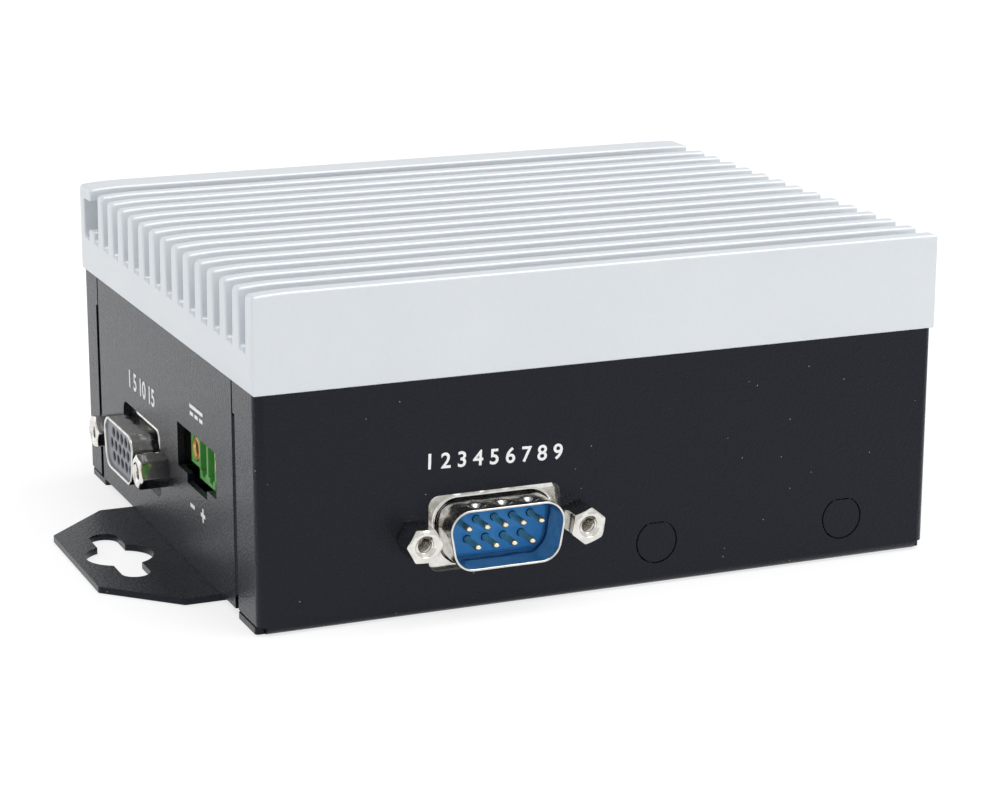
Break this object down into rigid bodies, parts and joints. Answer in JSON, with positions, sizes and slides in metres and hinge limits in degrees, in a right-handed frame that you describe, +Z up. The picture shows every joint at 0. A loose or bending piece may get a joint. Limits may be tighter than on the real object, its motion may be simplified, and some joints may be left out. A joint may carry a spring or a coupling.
{
  "type": "fanless industrial computer",
  "caption": "Compact fanless industrial computer with a finned heat sink lid, folded steel case, mounting ears, serial connectors and a pluggable power inlet.",
  "frame": {"origin": "centre of the folded case's bottom face, on the plane that it stands on", "axes": "+X towards the right end with the network and USB sockets, +Y towards the back, +Z up through the heat sink fins"},
  "size_m": [0.1372, 0.0942, 0.0488],
  "materials": {
    "heatsink_aluminium": "matte blasted",
    "case_coating": "satin fine texture",
    "nickel": "satin",
    "steel_zinc": "satin",
    "steel_black": "satin",
    "contact_gold": "bright",
    "nut_brass": "bright",
    "insulator_blue": "moulded",
    "insulator_grey": "moulded",
    "header_green": "moulded",
    "plastic_black": "moulded",
    "board_green": "solder mask",
    "chip_black": "moulded",
    "pad_grey": "soft",
    "spreader_aluminium": "milled",
    "can_aluminium": "drawn",
    "ferrite_grey": "pressed"
  },
  "bodies": {
    "root": {"board_screws": "steel_zinc", "board_standoffs": "nut_brass", "bottom_tray": "case_coating", "capacitors": "can_aluminium", "carrier_board": "board_green", "case_posts": "steel_zinc", "case_screws": "steel_black", "coin_cell": "nickel", "coin_cell_holder": "plastic_black", "dsub15_contacts": "contact_gold", "dsub15_insulator": "insulator_grey", "dsub15_jackscrews": "nickel", "dsub15_shell": "nickel", "dsub9_insulator": "insulator_blue", "dsub9_jackscrews": "nickel", "dsub9_pins": "contact_gold", "dsub9_shell": "nickel", "heat_spreader": "spreader_aluminium", "heatsink": "heatsink_aluminium", "inductors": "ferrite_grey", "lan_jack_contacts": "contact_gold", "lan_jack_insert": "plastic_black", "lan_jack_shell": "nickel", "left_io_panel": "case_coating", "memory_chips": "chip_black", "module_board": "board_green", "module_screws": "steel_zinc", "module_socket": "plastic_black", "module_spacers": "nut_brass", "panel_clips": "steel_zinc", "panel_screws": "steel_zinc", "power_header": "header_green", "power_header_nuts": "nut_brass", "power_header_pins": "nickel", "processor": "chip_black", "right_io_panel": "case_coating", "storage_card": "board_green", "storage_post": "nut_brass", "storage_screw": "steel_zinc", "storage_socket": "plastic_black", "thermal_pad": "pad_grey", "usb_shell": "nickel", "usb_tongues": "plastic_black", "video_socket_shell": "nickel", "video_socket_tongue": "plastic_black"}
  },
  "joints": []
}
